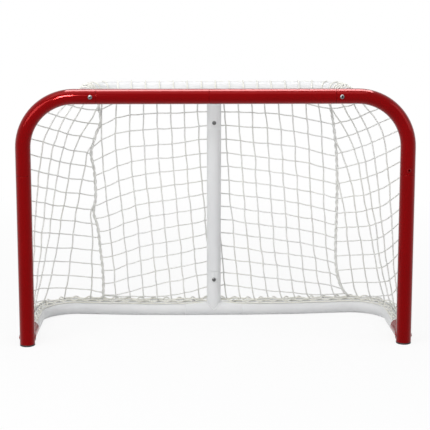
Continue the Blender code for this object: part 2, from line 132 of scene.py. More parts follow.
print("posts at x = ±%.4f, mouth plane at y = %.4f" % (post_x, mouth_y))

# %% [markdown]
# ## The camera
# The photograph looks at the mouth from about three metres, a little left of the middle and from
# above. The lens is long, so that the posts stay nearly parallel, and it is shifted a little, as in
# a view camera, so that they lean together less.

# %% The camera, three metres in front of the mouth
camera_data = bpy.data.cameras.new("portrait_lens")
camera_data.lens = 101.65
camera_data.sensor_width = 36
camera_data.shift_y = -0.08
camera = add_object("portrait_camera", camera_data)
camera.location = place(-0.0693, -2.975, 0.887)
camera.rotation_euler = (radians(90 - 8.93), 0, radians(-1.28))
bpy.context.scene.camera = camera
bpy.context.scene.view_settings.view_transform = "Standard"
print("camera at", tuple(round(value, 3) for value in camera.location))

# %% [markdown]
# ## Light
# Painted steel wants large, soft lights. Four softboxes light the goal, and the world adds an even
# fill that is plain white to the camera. The bright lines along the top of the crossbar and round
# the left bend come from a wide box above and a small one in front, which show in the gloss alone
# and add no hard shadow.

# %% The world: a soft grey fill, seen as a white background


def wire(tree, node, *inputs, **named):
    """Sets inputs of a shader node, by place or by name, to values or to outputs of other nodes."""
    values = dict(enumerate(inputs))
    values.update({name.replace("_", " "): value for name, value in named.items()})
    for socket, value in values.items():
        if isinstance(value, bpy.types.NodeSocket):
            tree.links.new(value, node.inputs[socket])
        else:
            node.inputs[socket].default_value = value
    return node


def add_node(tree, kind, *inputs, **named):
    """A new shader node, wired up."""
    return wire(tree, tree.nodes.new(kind), *inputs, **named)


def maths(tree, operation, *inputs):
    """The result of a sum on one or two values."""
    node = add_node(tree, "ShaderNodeMath", *inputs)
    node.operation = operation
    return node.outputs[0]


def remap(tree, value, low, high, from_low=0.3, from_high=0.7):
    """A value, clamped and moved to the range from low to high."""
    return add_node(
        tree, "ShaderNodeMapRange", value,
        From_Min=from_low, From_Max=from_high, To_Min=low, To_Max=high,
    ).outputs["Result"]


def seen_directly(tree):
    """A factor of 1 for rays that the camera sees, straight or in a gloss or a pane."""
    rays = add_node(tree, "ShaderNodeLightPath").outputs
    seen = maths(tree, "MAXIMUM", rays["Is Camera Ray"], rays["Is Glossy Ray"])
    return maths(tree, "MAXIMUM", seen, rays["Is Transmission Ray"])


def empty_tree(owner):
    """The node tree of a world or a material, cleared."""
    owner.use_nodes = True
    owner.node_tree.nodes.clear()
    return owner.node_tree


fill_strength = 0.55
world = bpy.data.worlds.new("studio")
bpy.context.scene.world = world
web = empty_tree(world)
fill = add_node(web, "ShaderNodeBackground", Color=(0.97, 0.985, 1.0, 1), Strength=fill_strength)
white = add_node(web, "ShaderNodeBackground", Color=(1, 1, 1, 1), Strength=1.0)
choice = add_node(web, "ShaderNodeMixShader", seen_directly(web), fill.outputs[0], white.outputs[0])
add_node(web, "ShaderNodeOutputWorld", Surface=choice.outputs[0])
print("world fill", fill_strength)

# %% Softboxes


def softbox(name, location, target, width, height, watts):
    """An area light of the given size, turned to face its target."""
    light = bpy.data.lights.new(name, "AREA")
    light.shape = "RECTANGLE"
    light.size, light.size_y, light.energy = width, height, watts
    lamp = add_object(name, light)
    lamp.location = location
    lamp.rotation_euler = (Vector(target) - Vector(location)).to_track_quat("-Z", "Y").to_euler()
    return lamp


softbox("overhead_box", (-0.3, -0.9, 2.4), (0, 0, 0.3), 2.6, 1.3, 23)
softbox("left_box", (-1.9, -2.2, 1.5), (0, 0, 0.3), 1.3, 1.1, 32)
softbox("right_box", (2.4, -1.2, 1.5), (0, 0, 0.35), 1.2, 1.4, 10)
softbox("rear_box", (0.5, 2.6, 1.9), (0, 0.1, 0.3), 2.2, 1.2, 4)
gloss_lamps = (
    softbox("ceiling_box", (0.18, 0.48, 2.4), (0.18, 0.48, 0), 2.0, 1.2, 118),
    softbox("bend_box", (-0.74, -2.0, 1.42), (-0.4, 0, 0.6), 0.35, 0.46, 66),
)
for lamp in gloss_lamps:
    lamp.visible_diffuse = False

# %% [markdown]
# ## The floor
# The goal stands on a white sweep. Near it, a share of the floor is a matte white, which takes its
# shadow. Further out it is all the plain white of the background, so no horizon shows.

# %% A round floor that fades to white
floor_radius = 9
fade_start, fade_end = 0.6, 2.2
plain_share = 0.88
bpy.ops.object.select_all(action="DESELECT")
bpy.ops.mesh.primitive_circle_add(
    vertices=96, radius=floor_radius, fill_type="NGON", location=(0, 0, -0.0002)
)
floor = bpy.context.object
floor.name = "floor"
floor_paint = bpy.data.materials.new("white_sweep")
web = empty_tree(floor_paint)
matte = add_node(web, "ShaderNodeBsdfDiffuse", Color=(0.8, 0.8, 0.8, 1))
glow = add_node(web, "ShaderNodeEmission", Color=(1, 1, 1, 1), Strength=1.0)
away = add_node(web, "ShaderNodeVectorMath", add_node(web, "ShaderNodeTexCoord").outputs["Object"])
away.operation = "LENGTH"
fade = remap(web, away.outputs["Value"], plain_share, 1.0, fade_start, fade_end)
shown = maths(web, "MULTIPLY", fade, seen_directly(web))
floor_mix = add_node(web, "ShaderNodeMixShader", shown, matte.outputs[0], glow.outputs[0])
add_node(web, "ShaderNodeOutputMaterial", Surface=floor_mix.outputs[0])
floor.data.materials.append(floor_paint)
print("floor radius", floor_radius)

# %% [markdown]
# ## Paint on steel
# Powder coat is a thick, even skin with a faint orange peel. A flat colour would look like plastic
# film, so the colour and the gloss drift a little, over a fine bump. The patterns read Object
# coordinates, which suits pieces that need no seams.

# %% Powder coats
drift_scale, gloss_scale, dust_scale = 7.0, 38.0, 420.0
fine_peel, broad_peel, peel_depth = 520.0, 60.0, 0.00001
dust_colour = (0.5, 0.48, 0.47)


def new_finish(name):
    """A material, with its node tree, its shader and its texture coordinates."""
    material = bpy.data.materials.new(name)
    material.use_nodes = True
    tree = material.node_tree
    return material, tree, tree.nodes["Principled BSDF"], add_node(tree, "ShaderNodeTexCoord").outputs


def cloud(tree, coordinates, scale, detail=2.0):
    """Noise of the given scale over some coordinates."""
    return add_node(tree, "ShaderNodeTexNoise", coordinates, Scale=scale, Detail=detail).outputs["Fac"]


def blend_colours(tree, factor, first, second):
    """A colour between two, by a factor. Each is a colour or the output of a node."""
    mix = tree.nodes.new("ShaderNodeMix")
    mix.data_type = "RGBA"
    first, second = ((*end, 1) if isinstance(end, tuple) else end for end in (first, second))
    return wire(tree, mix, Factor=factor, A=first, B=second).outputs["Result"]


def bump(tree, height, distance, strength, *under):
    """A bump from a height, on top of another bump if one is given."""
    node = add_node(tree, "ShaderNodeBump", Height=height, Distance=distance, Strength=strength)
    for normal in under:
        wire(tree, node, Normal=normal)
    return node.outputs["Normal"]


def powder_coat(name, deep, light, gloss, specular, tint, dustiness):
    """Paint between two colours, with specks of dust and an orange peel."""
    material, tree, shader, where = new_finish(name)
    here = where["Object"]
    colour = blend_colours(tree, remap(tree, cloud(tree, here, drift_scale), 0.0, 1.0), deep, light)
    dust = remap(tree, cloud(tree, here, dust_scale, 3.0), 0.0, dustiness, 0.62, 0.8)
    peel = bump(tree, cloud(tree, here, fine_peel, 1.0), peel_depth, 0.35)
    wire(
        tree, shader, Base_Color=blend_colours(tree, dust, colour, dust_colour),
        Roughness=remap(tree, cloud(tree, here, gloss_scale, 4.0), *gloss),
        Normal=bump(tree, cloud(tree, here, broad_peel, 1.0), peel_depth, 0.25, peel),
        Specular_IOR_Level=specular, Specular_Tint=(*tint, 1),
    )
    return material


red_coat = powder_coat(
    "red_powder_coat", (0.165, 0.0, 0.0006), (0.185, 0.0, 0.0008), (0.075, 0.09), 0.5, (1.0, 0.10, 0.10),
    0.003,
)
white_coat = powder_coat(
    "white_powder_coat", (0.70, 0.705, 0.71), (0.74, 0.745, 0.745), (0.32, 0.40), 0.05, (1, 1, 1), 0.035,
)
print("paint:", red_coat.name, white_coat.name)

# %% [markdown]
# ## Steel tube, by hand
# A tube is a circle that is drawn along its axis. A straight run is one extrusion, and a bend is a
# spin round the bend's centre, which is how a bending machine makes it. Where one tube plugs into
# the next, its end is swaged: the wall steps in over a rounded shoulder to a narrower spigot. A
# curve with a bevel would be quicker, but it can't step, and its bends are less even. A long run
# gets a ring close to each end, so that a lip's rounding doesn't tilt the light along it.

# %% One tube from runs, bends and necks
hold = 0.001
bend_step = radians(4.5)


def begin():
    """Out of edit mode, with nothing selected."""
    if bpy.context.object and bpy.context.object.mode == "EDIT":
        bpy.ops.object.mode_set(mode="OBJECT")
    bpy.ops.object.select_all(action="DESELECT")


def settle(piece, material, smooth=35):
    """Puts a piece's origin at the world's, shades it, and gives it a finish."""
    begin()
    piece.select_set(True)
    bpy.context.view_layer.objects.active = piece
    bpy.ops.object.transform_apply(location=True, rotation=True, scale=True)
    piece.data.materials.clear()
    piece.data.materials.append(material)
    bpy.ops.object.shade_smooth_by_angle(angle=radians(smooth))
    return piece


def shoulder_moves(before, after, length, steps=4):
    """A rounded shoulder from one radius to another, as short necks."""
    wide, narrow = max(before, after), min(before, after)
    turns = [pi / 2 * index / steps for index in range(steps + 1)]
    outline = [(length * sin(turn), narrow + (wide - narrow) * cos(turn)) for turn in turns]
    if after > before:
        outline = [(length - ahead, radius) for ahead, radius in reversed(outline)]
    return [("neck", b[0] - a[0], b[1] / a[1]) for a, b in zip(outline, outline[1:])]


def edit_new():
    """The mesh that was just added, in edit mode with all of it selected."""
    bpy.ops.object.mode_set(mode="EDIT")
    bpy.ops.mesh.select_all(action="SELECT")
    return bpy.context.object


def select_open_rim():
    bpy.ops.mesh.select_all(action="DESELECT")
    bpy.ops.mesh.select_non_manifold(extend=False)


def close_skin():
    """Caps the selected rim, and turns the faces of the mesh outward."""
    bpy.ops.mesh.edge_face_add()
    bpy.ops.mesh.select_all(action="SELECT")
    bpy.ops.mesh.normals_make_consistent(inside=False)
    bpy.ops.object.mode_set(mode="OBJECT")


def drawn_tube(start, heading, axis, moves, material, radius=tube_radius, facets=48):
    """A closed tube along its moves, which are ("run", length), ("neck", length, scale) and
    ("bend", radius, turn) round the axis."""
    begin()
    here, heading = Vector(start), Vector(heading).normalized()
    facing = up.rotation_difference(heading).to_euler()
    bpy.ops.mesh.primitive_circle_add(vertices=facets, radius=radius, location=here, rotation=facing)
    piece = edit_new()
    for kind, first, *more in moves:
        if kind == "bend":
            turn = more[0]
            centre = here + (first if turn > 0 else -first) * axis.cross(heading)
            bpy.ops.mesh.spin(steps=ceil(abs(turn) / bend_step), angle=-turn, center=centre, axis=axis)
            swing = Matrix.Rotation(turn, 3, axis)
            here = centre + swing @ (here - centre)
            heading = swing @ heading
            continue
        here = here + first * heading
        held = kind == "run" and first > 4 * hold
        for part in (hold, first - 2 * hold, hold) if held else (first,):
            bpy.ops.mesh.extrude_edges_move(TRANSFORM_OT_translate={"value": part * heading})
        if kind == "neck":
            bpy.ops.transform.resize(value=(more[0],) * 3, center_override=here)
    bpy.ops.mesh.edge_face_add()
    select_open_rim()
    close_skin()
    return settle(piece, material)


lip = 0.0005
spigot_end = 0.012
lip_in = shoulder_moves(tube_radius - lip, tube_radius, lip, 2)
lip_out = shoulder_moves(tube_radius, tube_radius - lip, lip, 2)
step_up = [("run", spigot_end)] + shoulder_moves(spigot_radius, tube_radius, shoulder)
step_down = shoulder_moves(tube_radius, spigot_radius, shoulder) + [("run", spigot_end)]
# The moves into and out of each kind of end, and the radius that a tube with it starts at
ends = {"lip": (lip_in, lip_out, tube_radius - lip), "spigot": (step_up, step_down, spigot_radius)}


def fitted(start, heading, axis, moves, material, first="lip", last="lip"):
    """A tube with a rounded lip or a narrower spigot at each end."""
    moves = ends[first][0] + moves + ends[last][1]
    return drawn_tube(start, heading, axis, moves, material, ends[first][2])


def dress(piece, name, *replaced):
    """A finished piece is named, rides on the goal, and stands for its nodes."""
    piece.name = piece.data.name = name
    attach(piece, "root")
    if replaced:
        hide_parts(*replaced)
    return piece


def joined(*pieces):
    """Several meshes made one, as a weld does."""
    begin()
    for piece in pieces:
        piece.select_set(True)
    bpy.context.view_layer.objects.active = pieces[0]
    bpy.ops.object.join()
    return pieces[0]


print("ends:", *ends)

# %% [markdown]
# ## Weld beads
# A stub meets its tube along a saddle, and the bead runs round it in small overlapping scales. It
# starts as a torus. Each point moves along the stub's axis to where the two tubes meet, and the
# ring swells and thins a little as it goes round.

# %% A bead that follows the saddle between two tubes
bead_radius = 0.0021
bead_scales = 33
scale_height, bead_swell = 0.16, 0.08


def weld_bead(root, direction, main_axis, stub_radius, material):
    """The bead round a stub that leaves a tube's axis at the root."""
    begin()
    bpy.ops.mesh.primitive_torus_add(
        major_segments=132, minor_segments=8, major_radius=stub_radius, minor_radius=bead_radius
    )
    bead = bpy.context.object
    across = direction.cross(main_axis)
    for vertex in bead.data.vertices:
        x, y, z = vertex.co
        turn = atan2(y, x)
        scale = 1 + scale_height * sin(bead_scales * turn) + bead_swell * sin(5 * turn + 1)
        reach = sqrt(max(tube_radius ** 2 - (stub_radius * sin(turn)) ** 2, 0.0))
        ring = stub_radius + (sqrt(x * x + y * y) - stub_radius) * scale
        vertex.co = root + ring * cos(turn) * main_axis + ring * sin(turn) * across
        vertex.co += (reach + z * scale) * direction
        vertex.co.z = max(vertex.co.z, play)
    return settle(bead, material)


def welded(main, root, direction, main_axis, moves, material, radius=tube_radius):
    """A tube, a stub along its moves and the bead between them, as one mesh."""
    stub = drawn_tube(root, direction, main_axis, moves, material, radius)
    return joined(main, stub, weld_bead(root, direction, main_axis, radius, material))


print("bead", bead_radius)

# %% [markdown]
# ## The red mouth: posts, bends and crossbar
# Each post carries a short stub near its foot for the base tube. The bends are sleeves at both
# ends, so every joint shows a fine dark ring. The stubs on the bends are narrower, because the legs
# of the top bar slide over them.

# %% Posts with their stubs
foot_rim = 0.0043
rise = post_seam_height - shoulder - foot_rim - lip
moves = [("run", stub_reach - lip)] + lip_out
for side_name, side in sides.items():
    x = side * post_x
    tall = fitted(place(x, 0, foot_rim), up, rear, [("run", rise)], red_coat, "lip", "spigot")
    post = welded(tall, place(x, 0, base_height), rear, up, moves, red_coat)
    dress(post, f"post_{side_name}_tube", f"post_{side_name}")
print("posts with foot stubs:", len(sides))

# %% Bends
moves = [("run", corner_leg - lip), ("bend", corner_radius, pi / 2), ("run", corner_tail - lip)]
shelf_stub = [("run", 0.06)]
for side_name, side in sides.items():
    bend = fitted(place(side * post_x, 0, post_seam_height), up, -side * rear, moves, red_coat)
    root = place(side * shelf_half_width, 0, bar_height)
    bend = welded(bend, root, rear, right, shelf_stub, red_coat, spigot_radius)
    dress(bend, f"corner_{side_name}_bend", f"corner_{side_name}")
print("bends of radius", corner_radius)

# %% Crossbar halves
left_length = centre_seam + crossbar_seam
left_bar = fitted(
    place(centre_seam, 0, bar_height), -right, up,
    [("run", left_length - lip - shoulder)], red_coat, "lip", "spigot",
)
right_length = crossbar_seam - centre_seam
right_bar = fitted(
    place(centre_seam - spigot_end, 0, bar_height), right, up,
    [("run", right_length - 2 * shoulder)], red_coat, "spigot", "spigot",
)
dress(left_bar, "crossbar_left_tube", "crossbar_left")
dress(right_bar, "crossbar_right_tube", "crossbar_right")
print("crossbar halves", round(left_length, 3), round(right_length, 3))

# %% [markdown]
# ## The white frame: base, centre post and top bar
# The base is one bent tube on each side that plugs into the post and into a tee at the back. The
# rear run bows inward a little, so the bend turns through more than a right angle. The centre
# post leans forward from the tee to the top bar.

# %% Base tubes and the tee
run_radius = (
    post_x - base_bend_radius * (1 + sin(base_bow_angle)) - tee_half_length - base_run_in
) / sin(base_bow_angle)
base_bend_y = (
    base_depth - base_bend_radius * cos(base_bow_angle) + run_radius * (1 - cos(base_bow_angle))
)
moves = [
    ("run", base_bend_y - stub_reach - shoulder), ("bend", base_bend_radius, pi / 2 + base_bow_angle),
    ("bend", run_radius, -base_bow_angle), ("run", base_run_in - shoulder),
]
for side_name, side in sides.items():
    start = place(side * post_x, stub_reach - spigot_end, base_height)
    base = fitted(start, rear, side * up, moves, white_coat, "spigot", "spigot")
    dress(base, f"base_{side_name}_tube", f"base_tube_{side_name}")

post_foot = place(0, base_depth, base_height)
post_head = place(0, top_depth, bar_height)
lean = (post_head - post_foot).normalized()
post_front = Vector((0, -lean.z, lean.y))
lower_seam = post_foot + stub_length * lean
upper_seam = post_head - stub_length * lean
start = place(-tee_half_length, base_depth, base_height)
tee = fitted(start, right, up, [("run", 2 * (tee_half_length - lip))], white_coat)
moves = [("run", stub_length - lip)] + lip_out
tee = welded(tee, post_foot, lean, right, moves, white_coat)
dress(tee, "base_tee_weldment", "base_tee")
print("rear run radius", round(run_radius, 3))

# %% Centre post and top bar
length = (upper_seam - lower_seam).length
post = fitted(
    lower_seam - spigot_end * lean, lean, right,
    [("run", length - 2 * shoulder)], white_coat, "spigot", "spigot",
)
dress(post, "centre_post_tube", "centre_post")

leg_front = tube_radius + play
leg_run = ("run", top_depth - shelf_bend_radius - leg_front - lip)
shelf_bend = ("bend", shelf_bend_radius, pi / 2)
shelf_run = ("run", 2 * (shelf_half_width - shelf_bend_radius))
start = place(-shelf_half_width, leg_front, bar_height)
shelf = fitted(start, rear, -up, [leg_run, shelf_bend, shelf_run, shelf_bend, leg_run], white_coat)
shelf = welded(shelf, post_head, -lean, right, moves, white_coat)
dress(shelf, "top_bar_weldment", "top_shelf")
print("centre post length", round(length, 3))

# %% [markdown]
# ## Screws
# Button-head socket screws hold the joints. The head is one closed skin: a hexagon is sunk for the
# key, bridged to a round rim, and drawn out and down over the dome to the seat and the shank. One
# is modelled, and each joint gets a copy, turned to face out of its tube.

# %% Zinc and rubber


def grained(name, dark, light, patches, gloss, gloss_patches, grain, metallic=0.0):
    """A colour and a gloss that drift in patches, over a fine grain."""
    material, tree, shader, where = new_finish(name)
    here = where["Object"]
    scale, depth, strength = grain
    wire(
        tree, shader, Metallic=metallic,
        Base_Color=blend_colours(tree, remap(tree, cloud(tree, here, *patches), 0.0, 1.0), dark, light),
        Roughness=remap(tree, cloud(tree, here, *gloss_patches), *gloss),
        Normal=bump(tree, cloud(tree, here, scale), depth, strength),
    )
    return material


zinc = grained(
    "zinc_plate", (0.11, 0.112, 0.118), (0.19, 0.19, 0.187), (260.0, 3.0), (0.30, 0.46), (260.0, 3.0),
    (1800.0, 0.00003, 0.5), 1.0,
)
rubber = grained(
    "black_rubber", (0.006, 0.006, 0.0065), (0.020, 0.019, 0.018), (300.0, 4.0), (0.55, 0.75), (120.0,),
    (2600.0, 0.00004, 0.6),
)
print("finishes:", zinc.name, rubber.name)

# %% One button-head screw
head_radius = 0.0054
head_height = 0.0033
rim_radius = 0.0031
key_width = 0.0042
key_depth = 0.0020
shank_radius = 0.0025
shank_length = 0.036
seat = tube_radius + play

begin()
bpy.ops.mesh.primitive_circle_add(vertices=6, radius=key_width / sqrt(3), location=(0, 0, head_height))
screw = edit_new()
bpy.ops.mesh.extrude_edges_move(TRANSFORM_OT_translate={"value": (0, 0, -key_depth)})
bpy.ops.mesh.edge_face_add()
bpy.ops.mesh.primitive_circle_add(vertices=24, radius=rim_radius, location=(0, 0, head_height))
select_open_rim()
bpy.ops.mesh.bridge_edge_loops()
select_open_rim()
dome = [
    (rim_radius, 0.0), (0.0041, -0.00025), (0.0048, -0.0007), (0.00525, -0.0013), (head_radius, -0.0021),
    (head_radius, -head_height), (shank_radius, -head_height), (shank_radius, -head_height - shank_length),
]
for (radius, height), (next_radius, next_height) in zip(dome, dome[1:]):
    bpy.ops.mesh.extrude_edges_move(TRANSFORM_OT_translate={"value": (0, 0, next_height - height)})
    ring_centre = (0, 0, head_height + next_height)
    bpy.ops.transform.resize(value=(next_radius / radius,) * 3, center_override=ring_centre)
close_skin()
settle(screw, zinc, 30)
print("screw faces:", len(screw.data.polygons))

# %% A screw in every joint
spigot_hole = 0.0215
front = -rear
joint_screws = {
    "crossbar": (place(centre_seam - spigot_hole, 0, bar_height), rear),
    "post_lower": (lower_seam - spigot_hole * lean, post_front),
    "post_upper": (upper_seam + spigot_hole * lean, post_front),
}
stub_hole = stub_reach - 0.016
post_hole = post_seam_height + 0.0125
for side_name, side in sides.items():
    tee_hole = side * (tee_half_length - spigot_hole)
    joint_screws.update({
        f"post_{side_name}": (place(side * post_x, 0, post_hole), front if side > 0 else rear),
        f"corner_{side_name}": (place(side * (crossbar_seam + 0.0135), 0, bar_height), front),
        f"base_{side_name}": (place(side * post_x, stub_hole, base_height), up),
        f"shelf_{side_name}": (place(side * shelf_half_width, stub_hole, bar_height), up),
        f"tee_{side_name}": (place(tee_hole, base_depth, base_height), up),
    })
turns = random.Random(4)
for name, (axis_point, direction) in joint_screws.items():
    copy = add_object("screw", screw.data.copy())
    spin = Matrix.Rotation(turns.uniform(0, pi / 3), 4, "Z")
    aim = up.rotation_difference(direction).to_matrix().to_4x4()
    copy.data.transform(Matrix.Translation(axis_point + seat * direction) @ aim @ spin)
    copy.data.materials[0] = red_coat if name in ("post_left", "post_right") else zinc
    dress(copy, f"screw_{name}_head", f"screw_{name}")
    for slot in bpy.data.objects[f"nut_{name}"].material_slots:
        slot.material = zinc
bpy.data.objects.remove(screw)
print("screws:", len(joint_screws))

# %% Rubber feet
cup, plug, rounded, dished = 0.0182, 0.0172, 0.0186, 0.0155
moves = [
    ("neck", 0.0004, cup / plug), ("neck", 0.0009, tube_radius / cup), ("run", 0.0020),
    ("neck", 0.0006, rounded / tube_radius), ("neck", 0.0001, plug / rounded), ("run", 0.0140),
    ("neck", 0.0015, dished / plug),
]
for side_name, side in sides.items():
    foot = drawn_tube(place(side * post_x, 0, 0), up, rear, moves, rubber, plug)
    dress(foot, f"foot_{side_name}_rubber", f"foot_{side_name}")
print("feet:", len(sides))

# %% [markdown]
# ## Lacing rods
# Thin rods are welded behind the red tubes and on top of the base tubes, for the net to be laced
# to. Each one is drawn like the tubes, with fewer sides, and has a small weld tack where it is held.

# %% Rods and their tacks
rod_radius = 0.0025
rod_y = tube_radius + rod_radius + play
tack_y = rod_y - 0.002
rod_rise = 0.020333
rod_gap = 0.008
rod_tip = 0.0005
base_outset = 0.008


def tack(spot, material):
    """A small blob of weld."""
    begin()
    bpy.ops.mesh.primitive_uv_sphere_add(segments=12, ring_count=8, radius=0.0030, location=spot)
    blob = bpy.context.object
    blob.scale = (1.25, 1.0, 1.1)
    return settle(blob, material, 60)


def lacing_rod(name, start, heading, axis, moves, spots, material=red_coat):
    """A thin rod along its moves, tacked on at the given spots."""
    moves = [("neck", rod_tip, 1.25)] + moves + [("neck", rod_tip, 0.8)]
    bar = drawn_tube(start, heading, axis, moves, material, 0.8 * rod_radius, 12)
    tacks = [tack(spot, material) for spot in spots]
    dress(joined(bar, *tacks), f"rod_{name}", f"lacing_rod_{name}")


bend_base = bar_height - corner_radius
low, high = base_height + tube_radius + rod_gap, post_seam_height - rod_gap
corner_low = post_hole + head_radius + rod_gap
bend = ("bend", corner_radius, radians(80))
for side_name, side in sides.items():
    x = side * post_x
    spots = [place(x, tack_y, low + share * (high - low)) for share in (0.01, 0.34, 0.67, 0.99)]
    moves = [("run", high - low - 2 * rod_tip)]
    lacing_rod(f"post_{side_name}", place(x, rod_y, low), up, rear, moves, spots)

    spots = [place(x, tack_y, corner_low + 0.003)]
    for turn in (radians(40), radians(79)):
        across = side * (post_x - corner_radius * (1 - cos(turn)))
        spots.append(place(across, tack_y, bend_base + corner_radius * sin(turn)))
    moves = [("run", bend_base - corner_low - rod_tip), bend]
    lacing_rod(f"corner_{side_name}", place(x, rod_y, corner_low), up, -side * rear, moves, spots)

    outer = side * (crossbar_seam - rod_gap)
    inner = centre_seam + (rod_gap if side > 0 else -spigot_hole - head_radius - rod_gap)
    spots = [place(inner + share * (outer - inner), tack_y, bar_height) for share in (0.01, 0.5, 0.99)]
    moves = [("run", abs(outer - inner) - 2 * rod_tip)]
    start = place(inner, rod_y, bar_height)
    lacing_rod(f"crossbar_{side_name}", start, side * right, up, moves, spots)

    start_y = stub_reach + rod_gap
    moves = [
        ("run", base_bend_y - start_y - rod_tip),
        ("bend", base_bend_radius + base_outset, pi / 2 + base_bow_angle),
        ("bend", run_radius - base_outset, -base_bow_angle),
    ]
    x += side * base_outset
    start = place(x, start_y, base_height + rod_rise)
    spots = [start + Vector((0, 0.003, -0.001)), place(x, base_bend_y, start.z - 0.001)]
    lacing_rod(f"base_{side_name}", start, rear, side * up, moves, spots, white_coat)
print("lacing rods:", 4 * len(sides))

# %% [markdown]
# ## Where the net hangs
# The net is not a sheet with holes but a hundred separate cords. Each panel first gets a smooth
# surface between the four edges that hold it, a Coons patch. The cords are then drawn over it in
# its own two coordinates, where a sag or a pull is easy to write down.

# %% Routes and patches
cord_gap = 0.0028
net_front = rod_y + cord_gap + 0.001
net_low = base_height + rod_rise + cord_gap
net_gap = tube_radius + cord_gap
seam_x = post_x - base_bend_radius * (1 + sin(base_bow_angle)) - 0.028
walk_step = radians(2)
rim = 0.02


def walk(start, heading, moves):
    """Flat points along straight runs (length,) and bends (radius, turn)."""
    points = [np.array(start, float)]
    for first, *more in moves:
        corner = points[-1]
        if not more:
            points.append(corner + first * np.array([cos(heading), sin(heading)]))
            continue
        turn = more[0]
        inward = (1 if turn > 0 else -1) * first
        centre = corner + inward * np.array([-sin(heading), cos(heading)])
        count = ceil(abs(turn) / walk_step)
        for index in range(1, count + 1):
            angle = heading + turn * index / count
            points.append(centre - inward * np.array([-sin(angle), cos(angle)]))
        heading += turn
    return np.array(points)


def upright(points, depth):
    return np.stack([points[:, 0], np.full(len(points), depth), points[:, 1]], 1)


def level(points, height):
    return np.stack([points[:, 0], points[:, 1], np.full(len(points), height)], 1)


def mileage(route):
    """How far along a route each of its points is."""
    return np.concatenate([[0], np.cumsum(np.linalg.norm(np.diff(route, axis=0), axis=1))])


def measured(route):
    """A function from 0..1 along a route to its points, evenly by length."""
    route = np.asarray(route, float)
    shares = mileage(route) / mileage(route)[-1]
    return lambda share: np.stack([np.interp(share, shares, route[:, axis]) for axis in range(3)], -1)


def patch(bottom, top, start, end, base_power=1.0, head_power=1.0):
    """A surface between four edges, which goes straight on past its rims. A high power keeps the bow
    of that edge near the edge."""
    bottom, top, start, end = (measured(edge) for edge in (bottom, top, start, end))
    corners = bottom(0), bottom(1), top(0), top(1)

    def inside(u, v):
        across = u[..., None]
        near_base, near_head = ((1 - v) ** base_power)[..., None], (v ** head_power)[..., None]
        low = corners[0] * (1 - across) + corners[1] * across
        high = corners[2] * (1 - across) + corners[3] * across
        taut = start(v) * (1 - across) + end(v) * across
        return taut + near_base * (bottom(u) - low) + near_head * (top(u) - high)

    def at(u, v):
        u, v = np.asarray(u, float), np.clip(v, 0, 1)
        edge = np.clip(u, 0, 1)
        inward = np.clip(edge, rim, 1 - rim)
        beyond = ((u - edge) / rim)[..., None]
        point = inside(edge, v)
        slope = np.where(u > 1, 1.0, -1.0)[..., None] * (point - inside(inward, v))
        return point + beyond * slope

    return at


print("seam starts at x = %.4f" % seam_x)

# %% The edges, taken from the tubes and rods
seam_bow = 0.018
detour_width = 0.05


def base_route(outset, start_y, stop_x):
    """Along the right base tube, moved outward, from start_y to stop_x on the rear run."""
    radius = run_radius - outset
    stop = asin((stop_x - tee_half_length - base_run_in) / radius)
    moves = [
        (base_bend_y - start_y,), (base_bend_radius + outset, pi / 2 + base_bow_angle),
        (radius, stop - base_bow_angle),
    ]
    return walk((post_x + outset, start_y), pi / 2, moves)


front_edge = upright(
    walk((post_x, net_low), pi / 2, [(bend_base - net_low,), (corner_radius, pi / 2)]), net_front
)
leg_x = shelf_half_width + net_gap
shelf_turn = shelf_bend_radius + net_gap
leg = walk((leg_x, net_front), pi / 2, [(top_depth - shelf_bend_radius - net_front,), (shelf_turn, pi / 4)])
side_top = np.concatenate([front_edge[-1:], level(leg, bar_height)])
side_bottom = level(
    np.concatenate([[[post_x, net_front]], base_route(base_outset, stub_reach, seam_x)]), net_low
)
share = np.linspace(0, 1, 33)
seam = side_bottom[-1] + (side_top[-1] - side_bottom[-1]) * share[:, None]
seam[:, 0] += seam_bow * np.sin(pi * share ** 1.7)
mirror = np.array([-1.0, 1.0, 1.0])
back_top = level(walk(side_top[-1][:2], 3 * pi / 4, [
    (shelf_turn, pi / 4), (2 * (shelf_half_width - shelf_bend_radius),), (shelf_turn, pi / 4),
]), bar_height)[::-1]
x = np.linspace(-seam_x, seam_x, 121)
run = np.maximum(0, np.abs(x) - tee_half_length - base_run_in)
behind_post = net_gap / lean.z - base_outset + (net_low - base_height) * lean.y / lean.z
back_bottom = np.stack([
    x,
    base_depth + run_radius - np.sqrt((run_radius - base_outset) ** 2 - run ** 2)
    + behind_post * np.exp(-((x / detour_width) ** 2)),
    np.full(len(x), net_low),
], 1)
back_surface = patch(back_bottom, back_top, seam * mirror, seam)
side_surface = patch(side_bottom, side_top, front_edge, seam, 2.5, 8.0)
print("back panel top %.3f m wide, bottom %.3f m" % (np.ptp(back_top[:, 0]), 2 * seam_x))

# %% [markdown]
# ## Cord
# The cord is laid from three strands, so it has a slanting twist. Here it is a thin tube of eight
# sides, whose rings turn as little as possible from one to the next. Its UV map counts turns of
# the lay along it and runs once round it, and the material draws the twist from those two numbers,
# with painted shade in its grooves.

# %% A tangle of cords that becomes one mesh
cord_radius = 0.0019
cord_lay = 0.0085
cord_sides = 8
cord_strands = 3


def tangle():
    return {"points": [], "faces": [], "marks": [], "count": 0}


